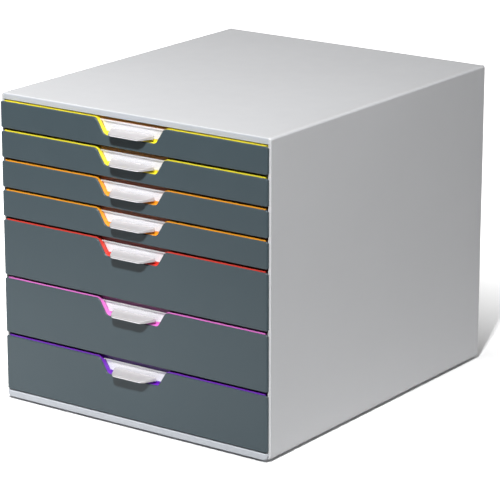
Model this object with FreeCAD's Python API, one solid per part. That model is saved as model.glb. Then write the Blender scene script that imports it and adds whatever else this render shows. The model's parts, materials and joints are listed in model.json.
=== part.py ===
import FreeCAD, Part
import math
import os

# Desktop drawer unit: a plastic case on four foot pads with seven sliding drawers.
# X runs to the right, Y to the back and Z up. The origin is under the middle of the unit.
# All sizes are millimetres.

# Case
case_width = 292.0
case_depth = 344.0
side_wall = 2.6
case_round = 2.5
side_front_bevel = 0.8
top_wall = 2.8
top_front_height = 5.7
top_front_round = 1.4
top_rail_depth = 7.0
top_rib_height = 1.6
top_rib_width = 2.0
top_rib_count = 3
base_wall = 2.8
base_lip_height = 6.0
base_lip_round = 3.5
back_wall = 2.4
back_inset = 2.1

# Foot pads, each let into a socket of the base
foot_height = 2.5
foot_length = 26.0
foot_width = 12.0
foot_bevel = 0.6
foot_socket_depth = 1.2
foot_from_side = 22.0
foot_from_end = 18.0

# Drawer stack, from the top down, in units of the pitch
drawer_units = [1, 1, 1, 1, 2, 2, 2]
pitch = 27.25
gap_between_fronts = 3.2
gap_over_lip = 1.1
gap_under_top = 1.4

# Front shell of a drawer
front_proud = 3.3
front_wall = 1.6
front_side_margin = 1.4
front_corner_round = 1.5
front_edge_bevel = 0.6
front_closing_gap = 0.5
front_rib_width = 1.2
front_rib_places = [50.0, 98.0]

# Notch in the upper edge of the front
notch_depth = 14.4
notch_half_width = 28.0
notch_lean = 0.62
notch_corner_round = 5.5
shoulder_round = 5.0

# Tray
rim_rise = 0.9
rim_end_margin = 3.0
tray_wall = 1.6
tray_lift = 0.5
tray_front_set = 2.7
tray_rear_gap = 3.5
tray_corner_round = 8.0
tray_floor_bevel = 1.6
tray_rail_gap = 0.6
flange_wall = 1.6
flange_rear_margin = 4.0
rim_wall = 1.5

# Runner rails on the side panels, and the stops that end the travel
rail_reach = 6.4
rail_root = 1.9
rail_tip = 1.5
rail_start = 8.0
run_gap = 0.3
keeper_gap = 0.5
keeper_reach = 4.2
keeper_wall = 1.2
ledge_wall = 1.8
ledge_reach = 3.0
groove_reach = 2.0
groove_wall = 1.8
drawer_travel = 240.0
stop_gap = 0.3
lug_length = 8.0
lug_reach = 1.2
stop_length = 8.0
stop_side_gap = 0.4

# Clear label window with its pull lip, and the paper label behind it
window_wall = 1.2
window_side_gap = 0.3
window_top_drop = 1.4
window_foot = 2.6
window_round = 2.4
window_bead_height = 1.2
window_bead_proud = 0.4
label_wall = 0.3
label_top_margin = 1.0
label_side_margin = 0.8
label_foot_margin = 0.2
pull_reach = 8.7
pull_root_half = 23.3
pull_front_half = 17.2
pull_plan_round = 7.0
pull_wall = 1.3
pull_rim_wall = 1.6
pull_root_height = 6.1
pull_front_height = 4.4
pull_edge_bevel = 0.5
lug_half_gap = 8.0
lug_width = 4.0
lug_bottom = 2.8
lug_height = 1.3
lug_beyond = 0.8
lug_gap = 0.1

# Places worked out from the sizes above
half_width = case_width / 2
inner_half = half_width - side_wall
overall_depth = case_depth + front_proud + pull_reach
case_front = -overall_depth / 2 + front_proud + pull_reach
case_back = case_front + case_depth
case_bottom = foot_height
lip_top = case_bottom + base_lip_height
stack_bottom = lip_top + gap_over_lip
stack_top = stack_bottom + pitch * sum(drawer_units) - gap_between_fronts
top_underside = stack_top + gap_under_top
case_top = top_underside + top_front_height
plate_underside = case_top - top_wall
back_panel_front = case_back - back_inset - back_wall
front_face = case_front - front_proud
front_inside = front_face + front_wall
front_half = half_width - front_side_margin
rim_half = front_half - rim_end_margin
wall_front = case_front + tray_front_set
tray_half = inner_half - rail_reach - tray_rail_gap
tray_rear = back_panel_front - tray_rear_gap
flange_rear = tray_rear - tray_corner_round - flange_rear_margin
window_back = wall_front - label_wall
window_front = window_back - window_wall
rail_end = back_panel_front
cut_margin = 1.0


def vec(x, y, z):
    return FreeCAD.Vector(x, y, z)


def block(x0, x1, y0, y1, z0, z1):
    return Part.makeBox(x1 - x0, y1 - y0, z1 - z0, vec(x0, y0, z0))


def rounded_wire(corners, place):
    """A closed outline through flat corners (a, b, radius), set in space by place(a, b)."""
    edges = []
    starts = []
    ends = []
    count = len(corners)
    for i in range(count):
        a, b, radius = corners[i]
        before = corners[i - 1]
        after = corners[(i + 1) % count]
        here = FreeCAD.Vector(a, b, 0)
        to_before = (FreeCAD.Vector(before[0], before[1], 0) - here).normalize()
        to_after = (FreeCAD.Vector(after[0], after[1], 0) - here).normalize()
        opening = to_before.getAngle(to_after)
        if radius == 0:
            starts.append(here)
            ends.append(here)
            edges.append(None)
            continue
        reach = radius / math.tan(opening / 2)
        first = here + to_before * reach
        last = here + to_after * reach
        bisector = (to_before + to_after).normalize()
        centre = here + bisector * (radius / math.sin(opening / 2))
        middle = centre - bisector * radius
        starts.append(first)
        ends.append(last)
        points = [place(p.x, p.y) for p in (first, middle, last)]
        edges.append(Part.Arc(*points).toShape())
    parts = []
    for i in range(count):
        if edges[i] is not None:
            parts.append(edges[i])
        run_start = ends[i]
        run_end = starts[(i + 1) % count]
        if run_start.distanceToPoint(run_end) > 1e-6:
            line = Part.LineSegment(place(run_start.x, run_start.y), place(run_end.x, run_end.y))
            parts.append(line.toShape())
    return Part.Wire(Part.__sortEdges__(parts))


def upright(corners, y0, y1):
    """A solid with an outline drawn in X and Z, reaching from y0 to y1."""
    wire = rounded_wire(corners, lambda a, b: vec(a, y0, b))
    return Part.Face(wire).extrude(vec(0, y1 - y0, 0))


def lying(corners, z0, z1):
    """A solid with an outline drawn in X and Y, reaching from z0 to z1."""
    wire = rounded_wire(corners, lambda a, b: vec(a, b, z0))
    return Part.Face(wire).extrude(vec(0, 0, z1 - z0))


def across(corners, x0, x1):
    """A solid with an outline drawn in Y and Z, reaching from x0 to x1."""
    wire = rounded_wire(corners, lambda a, b: vec(x0, a, b))
    return Part.Face(wire).extrude(vec(x1 - x0, 0, 0))


def mirrored(shape):
    return shape.mirror(vec(0, 0, 0), vec(1, 0, 0))


def joined(shapes):
    body = shapes[0].fuse(shapes[1:]) if len(shapes) > 1 else shapes[0]
    return body.removeSplitter()


def edges_where(shape, test):
    return [edge for edge in shape.Edges if test(edge.BoundBox)]


def keep(name, shape):
    shape.exportStep("parts/" + name + ".step")
    solids = len(shape.Solids)
    print(name, "solids", solids, "volume cm3", round(shape.Volume / 1000, 2), "valid", shape.isValid())


class Drawer:
    """Heights of one drawer, worked out from its place in the stack."""

    def __init__(self, number, bottom, units):
        self.number = number
        self.front_bottom = bottom
        self.front_top = bottom + units * pitch - gap_between_fronts
        self.rim_top = self.front_top + rim_rise
        self.tray_bottom = bottom + tray_lift
        self.notch_bottom = self.front_top - notch_depth
        self.rail_top = self.rim_top - flange_wall - run_gap


def stack_of_drawers():
    drawers = []
    bottom = stack_top + gap_between_fronts
    for index, units in enumerate(drawer_units):
        bottom = bottom - units * pitch
        drawers.append(Drawer(index + 1, bottom, units))
    return drawers


drawers = stack_of_drawers()


def notch_half(height):
    """Half the notch's width at a height above its bottom."""
    return notch_half_width + notch_lean * height


def notched_outline(half, bottom, top, drawer, corner):
    """The front's outline: a panel with the notch let into its upper edge."""
    low = drawer.notch_bottom
    wide = notch_half(top - low)
    right = [
        (half, bottom, corner),
        (half, top, corner),
        (wide, top, shoulder_round),
        (notch_half_width, low, notch_corner_round),
    ]
    left = [(-x, z, radius) for x, z, radius in reversed(right)]
    return right + left


# Case panels

def side_panel():
    """The right side: an outer wall with rounded long edges, and the runner rails inside."""
    outline = [
        (inner_half, case_bottom, 0),
        (half_width, case_bottom, case_round),
        (half_width, case_top, case_round),
        (inner_half, case_top, 0),
    ]
    wall = upright(outline, case_front, case_back)
    front_edges = edges_where(
        wall,
        lambda b: b.YMax < case_front + 1e-3 and b.XMin > inner_half + 1e-3,
    )
    wall = wall.makeChamfer(side_front_bevel, front_edges)
    pieces = [wall]
    pieces += [runner(drawer) for drawer in drawers]
    pieces += [keeper(drawer) for drawer in drawers[1:]]
    pieces += [stop_block(drawer) for drawer in drawers]
    top_ledge_start = case_front + top_rail_depth
    reach = inner_half - ledge_reach
    ledge_bottom = plate_underside - ledge_wall
    pieces.append(block(reach, inner_half, top_ledge_start, rail_end, ledge_bottom, plate_underside))
    base_top = case_bottom + base_wall
    base_ledge_start = case_front + base_wall
    pieces.append(block(reach, inner_half, base_ledge_start, rail_end, base_top, base_top + ledge_wall))
    groove = block(
        inner_half - groove_reach,
        inner_half,
        back_panel_front - groove_wall,
        back_panel_front,
        base_top,
        plate_underside,
    )
    pieces.append(groove)
    return joined(pieces)


def runner(drawer):
    """The rail that carries a tray's flange; it is thinner at its tip, as a moulded rib is."""
    top = drawer.rail_top
    outline = [
        (inner_half, top, 0),
        (inner_half - rail_reach, top, 0),
        (inner_half - rail_reach, top - rail_tip, 0),
        (inner_half, top - rail_root, 0),
    ]
    return upright(outline, case_front + rail_start, rail_end)


def keeper(drawer):
    """The rib over the flange that stops a pulled-out drawer from tipping."""
    low = drawer.rim_top + keeper_gap
    return block(
        inner_half - keeper_reach,
        inner_half,
        case_front + rail_start,
        rail_end,
        low,
        low + keeper_wall,
    )


def stop_block(drawer):
    """The block in the runner that the tray's lug meets at the end of the travel."""
    rear = flange_rear - lug_length - drawer_travel - stop_gap
    return block(
        rim_half + stop_side_gap,
        inner_half,
        rear - stop_length,
        rear,
        drawer.rail_top,
        drawer.rim_top + keeper_gap,
    )


def top_panel():
    """The top: a plate with a deeper rail along its front edge and ribs under it."""
    outline = [
        (case_front, top_underside, 0),
        (case_front, case_top, top_front_round),
        (case_back, case_top, top_front_round),
        (case_back, plate_underside, 0),
        (case_front + top_rail_depth, plate_underside, 0),
        (case_front + top_rail_depth, top_underside, 0),
    ]
    pieces = [across(outline, -inner_half, inner_half)]
    spacing = 2 * inner_half / (top_rib_count + 1)
    for i in range(top_rib_count):
        x = -inner_half + spacing * (i + 1)
        rib = block(
            x - top_rib_width / 2,
            x + top_rib_width / 2,
            case_front + top_rail_depth,
            back_panel_front - groove_wall,
            plate_underside - top_rib_height,
            plate_underside,
        )
        pieces.append(rib)
    return joined(pieces)


def foot_places():
    x = half_width - foot_from_side
    front = case_front + foot_from_end
    back = case_back - foot_from_end
    return {
        "foot_front_left": (-x, front),
        "foot_front_right": (x, front),
        "foot_back_left": (-x, back),
        "foot_back_right": (x, back),
    }


def foot(x, y):
    """A long pad with a bevelled lower edge, its upper part in the base's socket."""
    top = foot_height + foot_socket_depth
    pad = block(x - foot_width / 2, x + foot_width / 2, y - foot_length / 2, y + foot_length / 2, 0, top)
    return pad.makeChamfer(foot_bevel, edges_where(pad, lambda b: b.ZMax < 1e-3))


def base_panel():
    """The base: a plate with a proud lip along its front, and sockets for the foot pads."""
    plate = block(-inner_half, inner_half, case_front, case_back, case_bottom, case_bottom + base_wall)
    lip_outline = [
        (-front_half, case_bottom, base_lip_round),
        (front_half, case_bottom, base_lip_round),
        (front_half, lip_top, 0),
        (-front_half, lip_top, 0),
    ]
    lip = upright(lip_outline, front_face, case_front)
    lip_edges = edges_where(lip, lambda b: b.YMax < front_face + 1e-3)
    lip = lip.makeChamfer(front_edge_bevel, lip_edges)
    riser = block(-inner_half, inner_half, case_front, case_front + base_wall, case_bottom, lip_top)
    body = joined([plate, lip, riser])
    for x, y in foot_places().values():
        body = body.cut(foot(x, y))
    return body


def back_panel():
    low = case_bottom + base_wall
    return block(
        -inner_half,
        inner_half,
        back_panel_front,
        back_panel_front + back_wall,
        low,
        plate_underside,
    )


# Drawer pieces

def front_shell(drawer):
    """The front: a notched plate with a return round its sides and foot, and ribs behind."""
    outline = notched_outline(front_half, drawer.front_bottom, drawer.front_top, drawer, front_corner_round)
    plate = upright(outline, front_face, front_inside)
    face_edges = edges_where(plate, lambda b: b.YMax < front_face + 1e-3)
    plate = plate.makeChamfer(front_edge_bevel, face_edges)
    side_end = case_front - front_closing_gap
    pieces = [plate]
    for side in (-1, 1):
        x0, x1 = sorted((side * front_half, side * (front_half - front_wall)))
        low = drawer.front_bottom + front_corner_round
        high = drawer.front_top - front_corner_round
        pieces.append(block(x0, x1, front_inside, side_end, low, high))
        for place in front_rib_places:
            x = side * place
            rib_top = drawer.notch_bottom - rim_wall - run_gap
            rib = block(
                x - front_rib_width / 2,
                x + front_rib_width / 2,
                front_inside,
                wall_front,
                drawer.front_bottom,
                rib_top,
            )
            pieces.append(rib)
    low = drawer.front_bottom
    pieces.append(block(-rim_half, rim_half, front_inside, wall_front, low, low + front_wall))
    return joined(pieces)


def rim_beam(drawer):
    """The tray's moulded front beam: rim, notch walls and skirt, hollow from below."""
    low = drawer.notch_bottom - rim_wall
    beam_back = wall_front + tray_wall
    outline = notched_outline(rim_half, low, drawer.rim_top, drawer, 0)
    body = upright(outline, front_inside, beam_back)
    lean_wall = rim_wall * math.hypot(1, notch_lean)
    height_top = drawer.rim_top - rim_wall
    low_cut = low - cut_margin
    inner_top = notch_half(height_top - drawer.notch_bottom) + lean_wall
    inner_low = notch_half(low_cut - drawer.notch_bottom) + lean_wall
    hollow = [
        (inner_low, low_cut, 0),
        (rim_half - rim_wall, low_cut, 0),
        (rim_half - rim_wall, height_top, 0),
        (inner_top, height_top, 0),
    ]
    for corners in (hollow, [(-x, z, radius) for x, z, radius in hollow]):
        body = body.cut(upright(corners, front_inside + rim_wall, wall_front))
    return body


def tray_plan(inset):
    """The tray's box seen from above, with large corners at the back."""
    half = tray_half - inset
    corner = tray_corner_round - inset
    return [
        (-half, wall_front + inset, 0),
        (half, wall_front + inset, 0),
        (half, tray_rear - inset, corner),
        (-half, tray_rear - inset, corner),
    ]


def tray(drawer):
    """The coloured tray: an open box with runner flanges, stop lugs and the front beam."""
    shell = lying(tray_plan(0), drawer.tray_bottom, drawer.rim_top)
    floor_edges = edges_where(shell, lambda b: b.ZMax < drawer.tray_bottom + 1e-3)
    shell = shell.makeChamfer(tray_floor_bevel, floor_edges)
    pieces = [shell, rim_beam(drawer)]
    for side in (-1, 1):
        x0, x1 = sorted((side * (tray_half - tray_wall), side * rim_half))
        flange = block(x0, x1, wall_front, flange_rear, drawer.rim_top - flange_wall, drawer.rim_top)
        lug_x0, lug_x1 = sorted((side * tray_half, side * (rim_half + lug_reach)))
        lug = block(
            lug_x0,
            lug_x1,
            flange_rear - lug_length,
            flange_rear,
            drawer.rim_top - flange_wall,
            drawer.rim_top,
        )
        pieces += [flange, lug]
    body = joined(pieces)
    hollow = lying(tray_plan(tray_wall), drawer.tray_bottom + tray_wall, drawer.rim_top + cut_margin)
    body = body.cut(hollow)
    for side in (-1, 1):
        body = body.cut(window_lug(drawer, side, lug_gap))
    return body


def window_lug(drawer, side, grow):
    """A lug on the back of the window; grown by the fit, it is also the slot in the tray."""
    x0, x1 = sorted((side * lug_half_gap, side * (lug_half_gap + lug_width)))
    low = drawer.notch_bottom + lug_bottom
    rear = wall_front + tray_wall + lug_beyond
    return block(x0 - grow, x1 + grow, window_back, rear, low - grow, low + lug_height + grow)


def window_outline(drawer, margin, low, high, corner):
    """The window or the label: the notch's own shape, drawn in by a margin."""
    base = drawer.notch_bottom
    wide_low = notch_half(low - base) - margin
    wide_high = notch_half(high - base) - margin
    right = [(wide_low, low, corner), (wide_high, high, 0)]
    left = [(-x, z, radius) for x, z, radius in reversed(right)]
    return right + left


def pull(drawer):
    """The clear window with its bead, the lip that a finger pulls, and the lugs behind."""
    base = drawer.notch_bottom
    low = base + window_foot
    high = drawer.front_top - window_top_drop
    outline = window_outline(drawer, window_side_gap, low, high, window_round)
    plate = upright(outline, window_front, window_back)
    bead_low = high - window_bead_height
    bead_half = notch_half(bead_low - base) - window_side_gap
    bead = block(
        -bead_half,
        bead_half,
        window_front - window_bead_proud,
        window_front,
        bead_low,
        high,
    )
    pieces = [plate, bead, pull_lip(drawer)]
    pieces += [window_lug(drawer, side, 0) for side in (-1, 1)]
    return joined(pieces)


def pull_plan(inset):
    """The lip seen from above: a straight front whose round corners run back to the window."""
    front = front_face - pull_reach + inset
    right = [
        (pull_root_half - inset, window_front, 0),
        (pull_front_half - inset / 2, front, pull_plan_round - inset),
    ]
    left = [(-x, y, radius) for x, y, radius in reversed(right)]
    return right + left


def lip_prism(drawer, inset, low, drop):
    """A block on the lip's plan, from a low level up to the falling top, lowered by a drop."""
    front = front_face - pull_reach - cut_margin
    root = drawer.notch_bottom + pull_root_height - drop
    tip = drawer.notch_bottom + pull_front_height - drop
    over = root + cut_margin
    above = [(window_front, root, 0), (window_front, over, 0), (front, over, 0), (front, tip, 0)]
    prism = lying(pull_plan(inset), low, root)
    return prism.cut(across(above, -pull_root_half, pull_root_half))


def pull_lip(drawer):
    """A shelf that falls a little towards its front, with a rim turned down round its edge."""
    low = drawer.notch_bottom + window_foot
    body = lip_prism(drawer, 0, low, 0)
    top_edges = edges_where(body, lambda b: b.ZMin > low + 1e-2 and b.YMin < window_front - 1e-2)
    body = body.makeChamfer(pull_edge_bevel, top_edges)
    return body.cut(lip_prism(drawer, pull_rim_wall, low - cut_margin, pull_wall))


def label(drawer):
    """The paper label: the notch's shape once more, slotted over the window's lugs."""
    low = drawer.notch_bottom + window_foot + label_foot_margin
    high = drawer.front_top - window_top_drop - label_top_margin
    card = upright(window_outline(drawer, label_side_margin, low, high, 0), window_back, wall_front)
    for side in (-1, 1):
        card = card.cut(window_lug(drawer, side, lug_gap))
    return card


def main():
    os.makedirs("parts", exist_ok=True)
    right = side_panel()
    keep("right_side_panel", right)
    keep("left_side_panel", mirrored(right))
    keep("top_panel", top_panel())
    keep("base_panel", base_panel())
    keep("back_panel", back_panel())
    for name, (x, y) in foot_places().items():
        keep(name, foot(x, y))
    for drawer in drawers:
        name = "drawer_" + str(drawer.number)
        keep(name + "_tray", tray(drawer))
        keep(name + "_front", front_shell(drawer))
        keep(name + "_pull", pull(drawer))
        keep(name + "_label", label(drawer))
    print("overall size", case_width, overall_depth, case_top)


main()
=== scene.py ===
# %% [markdown]
# # A desktop drawer unit
# The unit is a light grey case with seven drawers. Each drawer is a coloured tray with a charcoal
# front clipped over its edge, and a clear label window whose moulded lip is the handle.
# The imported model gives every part's place and size, so nothing here is placed by eye.

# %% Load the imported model
import json
import math

import bmesh
import bpy
from mathutils import Matrix, Vector

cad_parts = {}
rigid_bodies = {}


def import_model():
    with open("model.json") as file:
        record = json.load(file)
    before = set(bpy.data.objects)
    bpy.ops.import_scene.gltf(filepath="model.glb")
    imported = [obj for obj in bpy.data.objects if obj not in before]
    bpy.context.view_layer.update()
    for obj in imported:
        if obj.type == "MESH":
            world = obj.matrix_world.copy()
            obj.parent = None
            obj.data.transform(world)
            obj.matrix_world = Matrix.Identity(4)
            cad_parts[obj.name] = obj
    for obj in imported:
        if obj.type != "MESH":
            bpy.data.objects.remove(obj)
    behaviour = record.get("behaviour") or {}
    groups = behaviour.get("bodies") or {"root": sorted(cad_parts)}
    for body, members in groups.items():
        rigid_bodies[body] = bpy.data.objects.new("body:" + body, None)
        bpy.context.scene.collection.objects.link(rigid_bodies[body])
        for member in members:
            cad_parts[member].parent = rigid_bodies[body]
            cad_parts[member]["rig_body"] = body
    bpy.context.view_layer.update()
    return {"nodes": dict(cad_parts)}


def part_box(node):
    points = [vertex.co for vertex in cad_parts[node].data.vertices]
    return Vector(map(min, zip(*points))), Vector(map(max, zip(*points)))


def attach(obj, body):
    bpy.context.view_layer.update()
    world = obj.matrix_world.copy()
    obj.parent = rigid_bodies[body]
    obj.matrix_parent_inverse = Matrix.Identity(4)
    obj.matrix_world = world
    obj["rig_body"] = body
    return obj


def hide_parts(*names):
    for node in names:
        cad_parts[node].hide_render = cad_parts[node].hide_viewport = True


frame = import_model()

nodes = frame["nodes"]


# %% [markdown]
# ## Units and colours
# The sizes of small plastic parts are easier to read in millimetres, while Blender works in metres.
# The drawers are numbered from the top, and each one is known by the colour of its tray.

# %% Millimetres and tray colours
def mm(*values):
    """Millimetres as metres: one number, or a list of several."""
    metres = [value / 1000 for value in values]
    return metres[0] if len(metres) == 1 else metres


tray_colours = {
    1: "yellow", 2: "yellow", 3: "orange", 4: "orange", 5: "red", 6: "pink", 7: "purple",
}
print("drawers", len(tray_colours))

# %% [markdown]
# ## The camera
# The photograph looks at the unit from its front right, a little from above, with a long lens.
# The lens and the place were worked out from the corners of the case. The camera is tilted down
# and has no shift, so that other views keep the unit in the middle of the picture.

# %% Camera
picture_width = 500
focal_pixels = 2676.0
sensor_width = 36.0
camera_turn = math.radians(35.579)
camera_tilt = math.radians(16.402)
case_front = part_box("right_side_panel")[0].y
camera_place = Vector(mm(1378.8, -1752.9, 820.9)) + Vector((0, case_front, 0))

camera_data = bpy.data.cameras.new("photo_camera")
camera_data.sensor_width = sensor_width
camera_data.lens = focal_pixels / picture_width * sensor_width
camera_data.clip_start = 0.05
camera_data.clip_end = 30
camera = bpy.data.objects.new("photo_camera", camera_data)
bpy.context.scene.collection.objects.link(camera)
camera.location = camera_place
camera.rotation_euler = (math.pi / 2 - camera_tilt, 0, camera_turn)
bpy.context.scene.camera = camera
print("lens in mm", round(camera_data.lens, 1))


# %% [markdown]
# ## Tools for shader nodes
# A finish is a small net of nodes. These helpers add a node, set its values by name and join it
# to others, so each finish below reads as a recipe.

# %% Add and join nodes
def put(tree, value, socket):
    """Join a socket to another one, or set it to a plain value."""
    if isinstance(value, bpy.types.NodeSocket):
        tree.links.new(value, socket)
    else:
        socket.default_value = value


def add(tree, kind, **values):
    """A node with its settings and inputs set by name. An underscore stands for a space."""
    node = tree.nodes.new(kind)
    for key, value in values.items():
        if hasattr(node, key) and key not in node.inputs:
            setattr(node, key, value)
        else:
            put(tree, value, node.inputs[key.replace("_", " ")])
    return node


def scalar(tree, operation, first, second=0.0):
    node = add(tree, "ShaderNodeMath", operation=operation)
    for socket, value in zip(node.inputs, (first, second)):
        put(tree, value, socket)
    return node.outputs[0]


def remap(tree, value, first, last, start=0.3, end=0.7):
    """A value that runs from first to last while the input runs from start to end."""
    node = add(tree, "ShaderNodeMapRange", Value=value, From_Min=start, From_Max=end,
               To_Min=first, To_Max=last)
    return node.outputs["Result"]


print("node helpers ready")


# %% Places, colours and the output
def new_material(name):
    material = bpy.data.materials.new(name)
    material.use_nodes = True
    material.node_tree.nodes.clear()
    return material


def show(material, shader):
    """Join a shader to the material's output, which finishes the material."""
    add(material.node_tree, "ShaderNodeOutputMaterial", Surface=shader.outputs[0])
    return material


def object_place(tree):
    return add(tree, "ShaderNodeTexCoord").outputs["Object"]


def from_front_to_back(tree, place):
    """The y of a place, which grows from the drawer fronts towards the back panel."""
    return add(tree, "ShaderNodeSeparateXYZ", Vector=place).outputs["Y"]


def depth_below_top(tree):
    """How far a point lies below the top of its drawer's front, as the mesh carries it."""
    return add(tree, "ShaderNodeAttribute", attribute_name="below_top").outputs["Fac"]


def noise(tree, place, scale, detail=2.0, roughness=0.5):
    node = add(tree, "ShaderNodeTexNoise", Vector=place, Scale=scale, Detail=detail,
               Roughness=roughness)
    return node.outputs["Fac"]


def coloured(sockets):
    """Only the colour sockets of a node that can also mix numbers and directions."""
    return [socket for socket in sockets if socket.type == "RGBA"]


def blend_colours(tree, factor, first, second):
    """Two colours blended. Each is three numbers, or a socket that brings a colour."""
    node = add(tree, "ShaderNodeMix", data_type="RGBA")
    tree.links.new(factor, node.inputs["Factor"])
    for socket, colour in zip(coloured(node.inputs), (first, second)):
        is_socket = isinstance(colour, bpy.types.NodeSocket)
        put(tree, colour if is_socket else (*colour, 1), socket)
    return coloured(node.outputs)[0]


def tone(colour, factor):
    return [channel * factor for channel in colour]


def sum_of_shaders(tree, first, second):
    node = add(tree, "ShaderNodeAddShader")
    for socket, shader in zip(node.inputs, (first, second)):
        tree.links.new(shader.outputs[0], socket)
    return node


print("material helpers ready")

# %% [markdown]
# ## Moulded plastic
# Polystyrene comes out of a spark-eroded mould with a fine, even grain, and its colour drifts a
# little where the melt flowed. One recipe covers all the opaque parts: two close tones blended by
# a wide soft noise, a roughness that wanders a little, and a very fine bump for the grain.
#
# Two places get painted shade. The tray's wall above a label lies in the shade of the front
# above it, so a darker tone of the tray's colour is painted on it as shade. It is found by its
# place and by a depth that the mesh carries.
# The front edge of the case gets less light than the top, so a cooler, darker grey is painted
# on it as shade.

# %% Recipe for opaque plastic
tray_wall_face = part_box("drawer_1_label")[1].y


def painted_shade_mask(tree, across):
    """One on the tray's wall above the label, where shade is painted, and nothing elsewhere."""
    from_wall = scalar(tree, "ABSOLUTE", scalar(tree, "SUBTRACT", across, tray_wall_face))
    on_wall = remap(tree, from_wall, 1, 0, mm(0.3), mm(0.5))
    near_top = remap(tree, depth_below_top(tree), 1, 0, mm(8), mm(10))
    return scalar(tree, "MULTIPLY", on_wall, near_top)


def moulded_plastic(name, colour, roughness, drift=0.03, grain=mm(0.02), grain_scale=2600,
                    specular=0.5, painted_shade=None, front=None):
    material = new_material(name)
    tree = material.node_tree
    place = object_place(tree)
    wide = remap(tree, noise(tree, place, scale=9, detail=3), 0, 1)
    tint = blend_colours(tree, wide, tone(colour, 1 - drift), tone(colour, 1 + drift))
    across = from_front_to_back(tree, place)
    # A darker tone of the tray's colour, painted on the wall above the label as shade.
    if painted_shade:
        tint = blend_colours(tree, painted_shade_mask(tree, across), tint, painted_shade)
    # A cooler, darker grey, painted along the case's front edge as shade.
    if front:
        front_shade_mask = remap(tree, across, 1, 0, case_front + mm(0.1), case_front + mm(0.5))
        tint = blend_colours(tree, front_shade_mask, tint, front)
    rough = remap(tree, noise(tree, place, scale=60), roughness - 0.03, roughness + 0.04)
    fine = noise(tree, place, scale=grain_scale, roughness=0.6)
    bump = add(tree, "ShaderNodeBump", Height=fine, Distance=grain, Strength=0.5)
    shader = add(tree, "ShaderNodeBsdfPrincipled", Base_Color=tint, Roughness=rough,
                 Specular_IOR_Level=specular, Normal=bump.outputs["Normal"])
    return show(material, shader)


print("recipe ready, tray wall at", round(tray_wall_face, 4))

# %% [markdown]
# The case is a light neutral grey. Its base, and the top panel's front edge, get a cooler and
# darker grey, which is painted shade. The fronts are a blue-green charcoal. The trays are the
# bright part of the design, and each colour comes with a darker tone that is painted shade. The
# feet are soft black rubber with a coarser grain.

# %% The plastics
case_grey = (0.61, 0.615, 0.63)
# A cooler, darker grey that is painted shade, on the top's front edge and on the whole base.
painted_shade_grey = (0.505, 0.53, 0.57)
case_plastic = moulded_plastic("case_plastic", case_grey, 0.40, drift=0.015)
top_plastic = moulded_plastic("top_plastic", case_grey, 0.40, drift=0.015, front=painted_shade_grey)
base_plastic = moulded_plastic("base_plastic", painted_shade_grey, 0.40, drift=0.015)
charcoal_plastic = moulded_plastic("charcoal_plastic", (0.053, 0.078, 0.091), 0.36)
foot_rubber = moulded_plastic("foot_rubber", (0.035, 0.035, 0.037), 0.8, drift=0.1,
                              grain=mm(0.06), grain_scale=900, specular=0.3)

# Each tray's own colour, and a darker tone of it that is painted shade on the wall above the label.
colours_and_painted_shades = {
    "yellow": ((0.82, 0.70, 0.03), (0.40, 0.15, 0.015)),
    "orange": ((0.86, 0.33, 0.014), (0.36, 0.085, 0.03)),
    "red": ((0.70, 0.045, 0.028), (0.28, 0.02, 0.015)),
    "pink": ((0.76, 0.18, 0.61), (0.3, 0.06, 0.22)),
    "purple": ((0.17, 0.017, 0.47), (0.07, 0.01, 0.2)),
}
tray_plastics = {
    colour: moulded_plastic("tray_" + colour, own_colour, 0.35, painted_shade=painted_shade)
    for colour, (own_colour, painted_shade) in colours_and_painted_shades.items()
}
print("opaque finishes", len(bpy.data.materials))


# %% [markdown]
# ## Paper and clear plastic
# The label is plain card with a faint fibre. The window and its lip are one clear moulding, but
# where it is thick the plastic looks milky, so it is mixed from a glossy clear shader and a soft
# white one. Refraction through such thin walls would add noise and nothing that the eye misses.
#
# The lip's front edge, its foot and the bead along its top are painted whiter than its shelf,
# a painted highlight for the light that gathers in the edges of clear plastic. They are found by
# place and by the carried depth.

# %% Label card and clear window
window_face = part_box("drawer_1_label")[0].y - mm(1.2)
lip_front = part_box("drawer_1_pull")[0].y


def paper(name, colour):
    material = new_material(name)
    tree = material.node_tree
    fibres = noise(tree, object_place(tree), scale=1400, detail=6, roughness=0.7)
    tint = blend_colours(tree, remap(tree, fibres, 0, 1), tone(colour, 0.97), colour)
    bump = add(tree, "ShaderNodeBump", Height=fibres, Distance=mm(0.03), Strength=0.4)
    shader = add(tree, "ShaderNodeBsdfPrincipled", Base_Color=tint, Roughness=0.85,
                 Normal=bump.outputs["Normal"])
    return show(material, shader)


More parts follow.
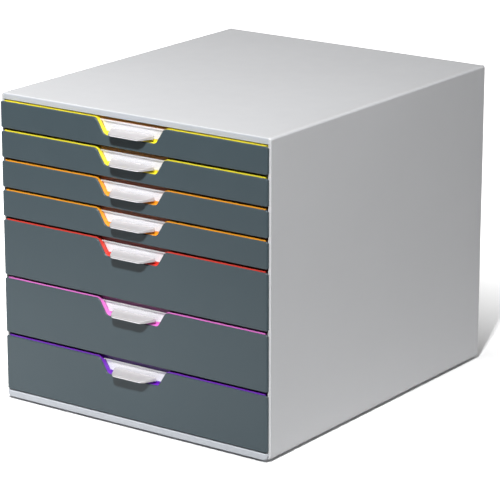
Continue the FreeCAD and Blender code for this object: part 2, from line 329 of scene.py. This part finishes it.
def clear_plastic(name, shelf, edge, thin_cover, thick_cover):
    """Clear polystyrene that looks milky in the thick lip, with a painted highlight on its edges.
    """
    material = new_material(name)
    tree = material.node_tree
    place = object_place(tree)
    across = from_front_to_back(tree, place)
    below_top = depth_below_top(tree)
    behind_edge = remap(tree, across, 0, 1, lip_front + mm(0.3), lip_front + mm(0.9))
    above_foot = remap(tree, below_top, 1, 0, mm(10.8), mm(11.2))
    below_bead = remap(tree, below_top, 0, 1, mm(4), mm(5))
    off_edges = scalar(tree, "MAXIMUM", behind_edge, above_foot)
    on_shelf = scalar(tree, "MINIMUM", off_edges, below_bead)
    rough = remap(tree, noise(tree, place, scale=300), 0.16, 0.24)
    # The edge colour is a painted highlight; the shelf colour is the milky plastic itself.
    milky = add(tree, "ShaderNodeBsdfPrincipled", Roughness=rough,
                Base_Color=blend_colours(tree, on_shelf, edge, shelf))
    through = add(tree, "ShaderNodeBsdfTransparent", Color=(0.985, 0.985, 0.985, 1))
    sheen = add(tree, "ShaderNodeBsdfGlossy", Color=(0.04, 0.04, 0.04, 1), Roughness=0.12)
    clear = sum_of_shaders(tree, through, sheen)
    cover = remap(tree, across, thick_cover, thin_cover, window_face - mm(0.6), window_face)
    body = add(tree, "ShaderNodeMixShader")
    for socket, value in zip(body.inputs, (cover, clear.outputs[0], milky.outputs[0])):
        tree.links.new(value, socket)
    return show(material, body)


label_card = paper("label_card", (0.84, 0.835, 0.875))
# The edge colour is the painted highlight on the lip's front edge, its foot and its bead.
window_plastic = clear_plastic("clear_window", shelf=(0.51, 0.495, 0.505),
                               edge=(0.90, 0.89, 0.92), thin_cover=0.03, thick_cover=0.96)
print("finishes", len(bpy.data.materials))


# %% [markdown]
# ## A tree for the drawer fronts
# The charcoal fronts are one design in two heights: a notched plate with rolled edges, a return
# round its sides and foot, and thin ribs behind. A shape that follows a rule suits Geometry Nodes.
# The tree takes the front's sizes as named inputs, so the same tree makes all of them, and a new
# height needs only new numbers.

# %% Tools for a Geometry Nodes tree
class Tree:
    """A Geometry Nodes tree with named size inputs and one mesh output."""

    def __init__(self, name):
        self.group = bpy.data.node_groups.new(name, "GeometryNodeTree")
        self.group.interface.new_socket("Geometry", in_out="OUTPUT",
                                        socket_type="NodeSocketGeometry")
        self.source = self.group.nodes.new("NodeGroupInput")
        self.identifiers = {}

    def size(self, name, kind="NodeSocketFloat"):
        """A named input, whose identifier is kept for the modifier."""
        socket = self.group.interface.new_socket(name, in_out="INPUT", socket_type=kind)
        self.identifiers[name] = socket.identifier
        return self.source.outputs[name]

    def node(self, kind, **values):
        return add(self.group, kind, **values)

    def join(self, *parts):
        node = self.node("GeometryNodeJoinGeometry")
        for part in parts:
            self.group.links.new(part, node.inputs[0])
        return node.outputs[0]

    def math(self, operation, first, second=0.0):
        return scalar(self.group, operation, first, second)

    def plus(self, first, second):
        return self.math("ADD", first, second)

    def minus(self, first, second):
        return self.math("SUBTRACT", first, second)

    def times(self, first, second):
        return self.math("MULTIPLY", first, second)

    def point(self, x, y, z=0.0):
        return self.node("ShaderNodeCombineXYZ", X=x, Y=y, Z=z).outputs[0]

    def choose(self, kind, values):
        """A switch that gives point number i its own value from the list."""
        node = self.node("GeometryNodeIndexSwitch", data_type=kind)
        while len(node.index_switch_items) < len(values):
            node.index_switch_items.new()
        index, *places = list(node.inputs)[:len(values) + 1]
        put(self.group, self.node("GeometryNodeInputIndex").outputs[0], index)
        for socket, value in zip(places, values):
            put(self.group, value, socket)
        return node.outputs[0]

    def finish(self, mesh, material):
        """Make instances real, weld what touches, and paint the result."""
        real = self.node("GeometryNodeRealizeInstances", Geometry=mesh)
        merged = self.node("GeometryNodeMergeByDistance", Geometry=real.outputs[0],
                           Distance=mm(0.004))
        painted = self.node("GeometryNodeSetMaterial", Geometry=merged.outputs[0],
                            Material=material)
        output = self.node("NodeGroupOutput")
        self.group.links.new(painted.outputs[0], output.inputs[0])


print("tree helpers ready")


# %% [markdown]
# A moulded plate is easiest to think of as an outline and a section. The outline is a path with
# rounded corners. The section is a few points that are swept round it, and flat faces close the
# two rings that the sweep leaves open.

# %% Paths, sweeps and slabs for the tree
corner_steps = 9
roll_steps = 5


def loose_curve(tree, count, closed):
    """A curve with a number of points that still have to be placed."""
    if closed:
        return tree.node("GeometryNodeCurvePrimitiveCircle", Resolution=count).outputs[0]
    line = tree.node("GeometryNodeMeshLine", Count=count)
    return tree.node("GeometryNodeMeshToCurve", Mesh=line.outputs[0]).outputs[0]


def path_curve(tree, corners, closed):
    """A curve through flat corners (x, y, radius), each rounded with an arc."""
    start = loose_curve(tree, len(corners), closed)
    places = tree.choose("VECTOR", [tree.point(x, y) for x, y, _ in corners])
    radii = tree.choose("FLOAT", [radius for _, _, radius in corners])
    placed = tree.node("GeometryNodeSetPosition", Geometry=start, Position=places)
    bent = tree.node("GeometryNodeFilletCurve", mode="POLY", Curve=placed.outputs[0],
                     Count=corner_steps, Radius=radii, Limit_Radius=True)
    upright = tree.node("GeometryNodeSetCurveNormal", mode="Z_UP", Curve=bent.outputs[0])
    return upright.outputs[0]


def sweep(tree, path, profile, closed, caps=False):
    """A profile of (outward, depth) points drawn along a path."""
    start = loose_curve(tree, len(profile), closed)
    places = tree.choose("VECTOR", [tree.point(out, depth) for out, depth in profile])
    shape = tree.node("GeometryNodeSetPosition", Geometry=start, Position=places)
    return tree.node("GeometryNodeCurveToMesh", Curve=path, Profile_Curve=shape.outputs[0],
                     Fill_Caps=caps).outputs[0]


def filled_ring(tree, swept, depth):
    """A flat face across the edge that a sweep leaves open at a depth."""
    place = tree.node("GeometryNodeInputPosition")
    split = tree.node("ShaderNodeSeparateXYZ", Vector=place.outputs[0])
    from_depth = tree.math("ABSOLUTE", tree.plus(split.outputs["Z"], depth))
    on_ring = tree.math("LESS_THAN", from_depth, mm(0.01))
    ring = tree.node("GeometryNodeMeshToCurve", Mesh=swept, Selection=on_ring)
    face = tree.node("GeometryNodeFillCurve", Curve=ring.outputs[0])
    offset = tree.point(0.0, 0.0, tree.times(depth, -1.0))
    moved = tree.node("GeometryNodeTransform", Geometry=face.outputs[0], Translation=offset)
    return moved.outputs[0]


def slab(tree, path, front, back, edge):
    """A closed plate between two depths, with its front edge rolled and its back edge eased."""
    eased = mm(0.15)
    profile = []
    for step in range(roll_steps + 1):
        angle = math.pi / 2 * step / roll_steps
        inward = tree.times(edge, math.sin(angle) - 1)
        depth = tree.plus(front, tree.times(edge, 1 - math.cos(angle)))
        profile.append((inward, depth))
    profile.append((0.0, tree.minus(back, eased)))
    profile.append((-eased, back))
    swept = sweep(tree, path, profile, closed=False)
    return tree.join(swept, filled_ring(tree, swept, front), filled_ring(tree, swept, back))


def bar(tree, size, place):
    cube = tree.node("GeometryNodeMeshCube", Size=size)
    return tree.node("GeometryNodeTransform", Geometry=cube.outputs[0],
                     Translation=place).outputs[0]


print("steps in a corner", corner_steps, "and in a rolled edge", roll_steps)

# %% [markdown]
# The tree's named inputs come first. They are the sizes that a drawing of the front would show.

# %% The named sizes of a front
front_tree = Tree("drawer_front")
half = front_tree.size("Half Width")
foot_height = front_tree.size("Bottom")
head_height = front_tree.size("Top")
wall = front_tree.size("Wall")
edge = front_tree.size("Edge Radius")
corner = front_tree.size("Corner Radius")
notch_depth = front_tree.size("Notch Depth")
notch_half = front_tree.size("Notch Half Width")
notch_lean = front_tree.size("Notch Lean")
notch_radius = front_tree.size("Notch Radius")
shoulder_radius = front_tree.size("Shoulder Radius")
return_depth = front_tree.size("Return Depth")
foot_depth = front_tree.size("Foot Depth")
rib_inner = front_tree.size("Rib Inner")
rib_outer = front_tree.size("Rib Outer")
front_finish = front_tree.size("Finish", kind="NodeSocketMaterial")
print("named inputs", len(front_tree.identifiers))


# %% [markdown]
# The outline is drawn flat, corner by corner, and every corner gets its own radius. A rolled-edge
# profile swept round it gives the plate's rim. The return is a square section swept round the
# sides and the foot, and it makes the thin shell stiff and hides the tray's edge.

# %% The plate and its return
def both_sides(corners):
    """Corners on the right, followed by their mirror images on the left."""
    left = [(front_tree.times(x, -1.0), y, radius) for x, y, radius in reversed(corners)]
    return corners + left


notch_floor = front_tree.minus(head_height, notch_depth)
notch_wide = front_tree.plus(notch_half, front_tree.times(notch_lean, notch_depth))
outline = path_curve(front_tree, both_sides([
    (half, foot_height, corner),
    (half, head_height, corner),
    (notch_wide, head_height, shoulder_radius),
    (notch_half, notch_floor, notch_radius),
]), closed=True)
plate = slab(front_tree, outline, 0.0, wall, edge)

overlap = mm(0.05)
skin = front_tree.minus(wall, overlap)
side_return = path_curve(front_tree, both_sides([
    (half, front_tree.minus(head_height, corner), 0.0),
    (half, foot_height, corner),
]), closed=False)
flange = sweep(front_tree, side_return, [
    (0.0, skin), (wall, skin), (wall, return_depth), (0.0, return_depth),
], closed=True, caps=True)
print("plate and return, nodes so far", len(front_tree.group.nodes))

# %% [markdown]
# A bar along the foot reaches back under the tray, and four thin ribs stiffen the plate behind.
# The ribs are instances of one block on four points. They are made real at the tree's end, and
# the whole front is stood up there, because it was drawn lying flat.

# %% The foot, the ribs and the tree's end
foot_inset = mm(3.2)
foot_run = front_tree.minus(foot_depth, return_depth)
foot_bar = bar(
    front_tree,
    front_tree.point(front_tree.times(front_tree.minus(half, foot_inset), 2.0), wall, foot_run),
    front_tree.point(0.0, front_tree.plus(foot_height, front_tree.times(wall, 0.5)),
                     front_tree.times(front_tree.plus(foot_depth, return_depth), -0.5)),
)

rib_wall = mm(1.2)
rib_head_gap = mm(1.8)
rib_foot_gap = mm(0.1)
rib_top = front_tree.minus(notch_floor, rib_head_gap)
rib_rise = front_tree.minus(front_tree.minus(rib_top, foot_height), rib_foot_gap)
rib_middle = front_tree.plus(front_tree.plus(foot_height, rib_foot_gap),
                             front_tree.times(rib_rise, 0.5))
rib_depth = front_tree.times(front_tree.plus(foot_depth, skin), -0.5)
rib_spots = [
    front_tree.point(front_tree.times(x, side), rib_middle, rib_depth)
    for side in (1.0, -1.0) for x in (rib_inner, rib_outer)
]
rib_points = front_tree.node("GeometryNodeMeshLine", Count=len(rib_spots))
rib_row = front_tree.node("GeometryNodeSetPosition", Geometry=rib_points.outputs[0],
                          Position=front_tree.choose("VECTOR", rib_spots))
rib_size = front_tree.point(rib_wall, rib_rise, front_tree.minus(foot_depth, skin))
rib = front_tree.node("GeometryNodeMeshCube", Size=rib_size)
ribs = front_tree.node("GeometryNodeInstanceOnPoints", Points=rib_row.outputs[0],
                       Instance=rib.outputs[0])

flat_front = front_tree.join(plate, flange, foot_bar, ribs.outputs[0])
stood_up = front_tree.node("GeometryNodeTransform", Geometry=flat_front,
                           Rotation=(math.pi / 2, 0, 0))
front_tree.finish(stood_up.outputs[0], front_finish)
print("front tree nodes", len(front_tree.group.nodes))


# %% [markdown]
# ## From tree to mesh
# A tree's result becomes a plain mesh before it joins the model. Its faces are turned outwards,
# edges sharper than a set angle stay crisp, and weighted normals keep the flat faces flat.

# %% Make a plain mesh
def new_object(name, mesh):
    piece = bpy.data.objects.new(name, mesh)
    bpy.context.scene.collection.objects.link(piece)
    return piece


def evaluated_mesh(holder, name):
    """The mesh that an object's modifiers make. The object itself is taken away."""
    graph = bpy.context.evaluated_depsgraph_get()
    mesh = bpy.data.meshes.new_from_object(holder.evaluated_get(graph))
    mesh.name = name
    bpy.data.objects.remove(holder)
    return mesh


def smooth_faces(mesh, angle=38):
    """Smooth shading with crisp edges, and normals weighted by face area."""
    for face in mesh.polygons:
        face.use_smooth = True
    mesh.set_sharp_from_angle(angle=math.radians(angle))
    holder = new_object("holder", mesh)
    weighted = holder.modifiers.new("weighted", "WEIGHTED_NORMAL")
    weighted.keep_sharp = True
    weighted.weight = 100
    return evaluated_mesh(holder, mesh.name)


def grow(tree, name, sizes, place):
    """A plain mesh object made by a tree with these sizes."""
    holder = new_object(name + "_tree", bpy.data.meshes.new(name))
    modifier = holder.modifiers.new("tree", "NODES")
    modifier.node_group = tree.group
    for key, value in sizes.items():
        modifier[tree.identifiers[key]] = value
    mesh = evaluated_mesh(holder, name)
    mesh.transform(Matrix.Translation(place))
    work = bmesh.new()
    work.from_mesh(mesh)
    bmesh.ops.recalc_face_normals(work, faces=work.faces)
    work.to_mesh(mesh)
    work.free()
    return new_object(name, smooth_faces(mesh))


print("mesh helpers ready")


# %% [markdown]
# ## The seven fronts
# Each front is an injection moulding that clips over its tray. Its width and height come from the
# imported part, and the notch is the same on all seven, because one window fits them all. A dressed
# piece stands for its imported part, takes the name of its finish and moves with its body.

# %% Grow the fronts
def stand_for(piece, node):
    """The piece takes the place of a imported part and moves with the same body."""
    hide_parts(node)
    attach(piece, nodes[node]["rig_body"])
    return piece


def front_sizes(node):
    low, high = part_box(node)
    return {
        "Half Width": high.x, "Bottom": low.z, "Top": high.z, "Foot Depth": high.y - low.y,
        "Wall": mm(1.6), "Edge Radius": mm(0.85), "Corner Radius": mm(1.5),
        "Notch Depth": mm(14.4), "Notch Half Width": mm(28.0), "Notch Lean": 0.62,
        "Notch Radius": mm(5.5), "Shoulder Radius": mm(5.0), "Return Depth": mm(2.8),
        "Rib Inner": mm(50.0), "Rib Outer": mm(98.0), "Finish": charcoal_plastic,
    }


front_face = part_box("drawer_1_front")[0].y
for number in tray_colours:
    node = f"drawer_{number}_front"
    front = grow(front_tree, f"charcoal_front_{number}", front_sizes(node), (0, front_face, 0))
    stand_for(front, node)
print("fronts", len(tray_colours), "with faces", len(front.data.polygons))


# %% [markdown]
# ## Moulded parts with eased edges
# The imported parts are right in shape, but a mould never leaves a knife edge, and a soft edge is
# what catches the light. A copy of each part is welded, its flat faces are merged, and a small
# bevel eases every sharp edge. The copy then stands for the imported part.

# %% The case with eased edges
def packed_copy(node, name, material):
    """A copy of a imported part's mesh with a finish of its own."""
    mesh = nodes[node].data.copy()
    mesh.name = name
    mesh.materials.clear()
    mesh.materials.append(material)
    return mesh


def eased_copy(node, name, width, material):
    mesh = packed_copy(node, name, material)
    work = bmesh.new()
    work.from_mesh(mesh)
    bmesh.ops.remove_doubles(work, verts=work.verts, dist=mm(0.002))
    bmesh.ops.dissolve_limit(work, angle_limit=math.radians(1), verts=work.verts,
                             edges=work.edges)
    work.to_mesh(mesh)
    work.free()
    holder = new_object("holder", mesh)
    bevel = holder.modifiers.new("ease", "BEVEL")
    bevel.width = width
    bevel.segments = 2
    bevel.limit_method = "ANGLE"
    bevel.angle_limit = math.radians(32)
    bevel.use_clamp_overlap = True
    piece = new_object(name, smooth_faces(evaluated_mesh(holder, name)))
    return stand_for(piece, node)


panel_finishes = {
    "top": top_plastic, "base": base_plastic, "back": case_plastic,
    "left_side": case_plastic, "right_side": case_plastic,
}
for panel, finish in panel_finishes.items():
    piece = eased_copy(panel + "_panel", "case_" + panel, mm(0.2), finish)
    print(piece.name, "faces", len(piece.data.polygons))


# %% [markdown]
# ## Trays, windows and labels
# The tray and the clear window are mouldings too. Each carries, point by point, its depth below
# the top of its front, which the finishes read. The label is card and gets no eased edge. It is
# made thinner, so that it touches neither the window nor the tray's wall.
#
# The first tray has no drawer front above it. Its rim would catch the light right up to the top
# panel, where the photograph has a thin dark line, so it is pressed down a little at the front.

# %% Dress the drawers
rim_press_start = mm(0.9)
rim_press = mm(0.7)
rim_press_reach = mm(4)


def mark_depth(piece, top):
    """Each point of the mesh carries its depth below a level, for the finishes to read."""
    depth = piece.data.attributes.new("below_top", "FLOAT", "POINT")
    for point, vertex in zip(depth.data, piece.data.vertices):
        point.value = top - vertex.co.z


def lower_rim(piece, top, start, behind, drop):
    """Nothing below the start moves, and the rim's top moves down by the drop."""
    for vertex in piece.data.vertices:
        if vertex.co.z > start and vertex.co.y < behind:
            vertex.co.z -= drop * (vertex.co.z - start) / (top - start)


def thin_card(node, name, share=0.5):
    """The label with a share of its thickness, about its own middle."""
    mesh = packed_copy(node, name, label_card)
    low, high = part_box(node)
    middle = Vector((0, (low.y + high.y) / 2, 0))
    thin = Matrix.Diagonal((1, share, 1, 1))
    mesh.transform(Matrix.Translation(middle) @ thin @ Matrix.Translation(-middle))
    return stand_for(new_object(name, mesh), node)


for number, colour in tray_colours.items():
    packed = f"drawer_{number}_"
    tray = eased_copy(packed + "tray", f"{colour}_tray_{number}", mm(0.3),
                      tray_plastics[colour])
    pull = eased_copy(packed + "pull", f"window_pull_{number}", mm(0.25), window_plastic)
    card = thin_card(packed + "label", f"label_{number}")
    front_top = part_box(packed + "front")[1].z
    for piece in (tray, pull):
        mark_depth(piece, front_top)
    if number == 1:
        rim_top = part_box(packed + "tray")[1].z
        lower_rim(tray, rim_top, front_top - rim_press_start, tray_wall_face + rim_press_reach,
                  rim_press)
print("tray faces", len(tray.data.polygons), "pull faces", len(pull.data.polygons),
      "label faces", len(card.data.polygons))

# %% [markdown]
# ## The feet
# Four rubber pads are pressed into sockets of the base. Only a dark line of them shows, so the
# packed pads stay as they are and get the rubber's finish.

# %% Dress the feet
feet = [node for node in nodes if node.startswith("foot")]
for node in feet:
    slots = nodes[node].data.materials
    slots.clear()
    slots.append(foot_rubber)
print("feet", len(feet))


# %% [markdown]
# ## The floor
# The floor is white to the camera and greyer to the light that bounces off it, and greyer still
# away from the unit, so the drawer fronts are not washed out from below. A glow that grows away
# from the unit fades the shadow into the white background. Under the unit there is no glow, which
# keeps the gap between the feet dark. In mirrored rays the floor is bright at the front left, and
# that gives the charcoal its soft sheen.

# %% Floor
bounce_near, bounce_far = 0.46, 0.08
glow_near, glow_far = 0.06, 1.1
mirror_glow = 0.95
mirror_centre = (-0.45, -0.35, 0)


def distance_to(tree, place, centre):
    node = add(tree, "ShaderNodeVectorMath", operation="DISTANCE", Vector=place)
    node.inputs[1].default_value = centre
    return node.outputs["Value"]


def distance_outside(tree, place, low, high):
    """How far a point of the floor lies outside the unit's plan. It is negative inside."""
    parts = add(tree, "ShaderNodeSeparateXYZ", Vector=place).outputs
    outside = -1.0
    for axis in (0, 1):
        middle = (low[axis] + high[axis]) / 2
        off_middle = scalar(tree, "ABSOLUTE", scalar(tree, "SUBTRACT", parts[axis], middle))
        beyond = scalar(tree, "SUBTRACT", off_middle, high[axis] - middle)
        outside = scalar(tree, "MAXIMUM", beyond, outside)
    return outside


def floor_material(name, low, high):
    material = new_material(name)
    tree = material.node_tree
    place = object_place(tree)
    rays = add(tree, "ShaderNodeLightPath").outputs
    from_middle = distance_to(tree, place, (0, 0, 0))
    bounce = remap(tree, from_middle, bounce_near, bounce_far, 0.3, 0.8)
    grey = scalar(tree, "MAXIMUM", rays["Is Camera Ray"], bounce)
    colour = add(tree, "ShaderNodeCombineColor", Red=grey, Green=grey, Blue=grey).outputs[0]
    diffuse = add(tree, "ShaderNodeBsdfDiffuse", Color=colour)

    outside = distance_outside(tree, place, low, high)
    not_under = remap(tree, outside, 0, 1, -mm(1.5), mm(1.5))
    outward = remap(tree, outside, glow_near, glow_far, 0, 0.30)
    top_up = scalar(tree, "MULTIPLY", outward, not_under)
    seen = scalar(tree, "MULTIPLY", rays["Is Camera Ray"], top_up)
    from_mirror = distance_to(tree, place, mirror_centre)
    mirror_bright = remap(tree, from_mirror, mirror_glow, 0, 0.2, 0.8)
    mirrored = scalar(tree, "MULTIPLY", rays["Is Glossy Ray"], mirror_bright)
    glow = add(tree, "ShaderNodeEmission", Strength=scalar(tree, "ADD", seen, mirrored))
    return show(material, sum_of_shaders(tree, diffuse, glow))


floor_half = 6.0
signs = ((-1, -1), (1, -1), (1, 1), (-1, 1))
floor_mesh = bpy.data.meshes.new("floor")
floor_mesh.from_pydata([(floor_half * x, floor_half * y, 0) for x, y in signs], [], [(0, 1, 2, 3)])
floor_mesh.materials.append(floor_material("studio_floor", *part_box("base_panel")))
floor = new_object("floor", floor_mesh)
print("floor, metres across", 2 * floor_half)


# %% [markdown]
# ## The lamps
# The photograph has one small key lamp, high on the right, which throws the crisp shadow of each
# lip. Weak wide lamps at the side, behind and on the left keep the other faces from going black.

# %% Lamps
def towards(side, height, distance):
    """A place seen from the drawers at an angle to the right and above."""
    side, height = math.radians(side), math.radians(height)
    across = math.cos(height) * distance
    drawer_height = 0.15
    return (math.sin(side) * across, -math.cos(side) * across,
            math.sin(height) * distance + drawer_height)


def soft_box(name, place, aim, size, watts, beam=180):
    lamp = bpy.data.lights.new(name, "AREA")
    lamp.shape = "RECTANGLE"
    lamp.size, lamp.size_y = size
    lamp.energy = watts
    lamp.spread = math.radians(beam)
    holder = new_object(name, lamp)
    holder.location = place
    holder.rotation_euler = (Vector(aim) - Vector(place)).to_track_quat("-Z", "Y").to_euler()


soft_box("key_box", towards(26, 46, 2.6), (-0.3, -0.25, 0.15), (0.16, 0.16), 10.2, beam=56)
soft_box("side_box", towards(100, 10, 1.6), (0.15, 0, 0.12), (0.8, 0.5), 5.0)
soft_box("back_box", towards(187, 4, 2.2), (0, 0.1, 0.12), (1.2, 0.6), 11.0)
soft_box("left_box", towards(268, 4, 2.2), (0, 0.1, 0.12), (1.2, 0.6), 8.0)
print("lamps", len(bpy.data.lights))

# %% [markdown]
# ## The surroundings
# A studio's walls add little light of their own, but glossy plastic mirrors them, and the camera
# sees them as a white background. The three kinds of rays therefore get three strengths.

# %% Surroundings
wall_light, wall_mirrored = 0.04, 0.6
world = bpy.data.worlds.new("studio")
bpy.context.scene.world = world
world.use_nodes = True
tree = world.node_tree
tree.nodes.clear()
rays = add(tree, "ShaderNodeLightPath").outputs
level = remap(tree, rays["Is Glossy Ray"], wall_light, wall_mirrored, 0, 1)
strength = scalar(tree, "MAXIMUM", level, rays["Is Camera Ray"])
sky = add(tree, "ShaderNodeBackground", Color=(1, 1, 1, 1), Strength=strength)
add(tree, "ShaderNodeOutputWorld", Surface=sky.outputs[0])
bpy.context.scene.view_settings.view_transform = "Standard"
print("world nodes", len(tree.nodes))
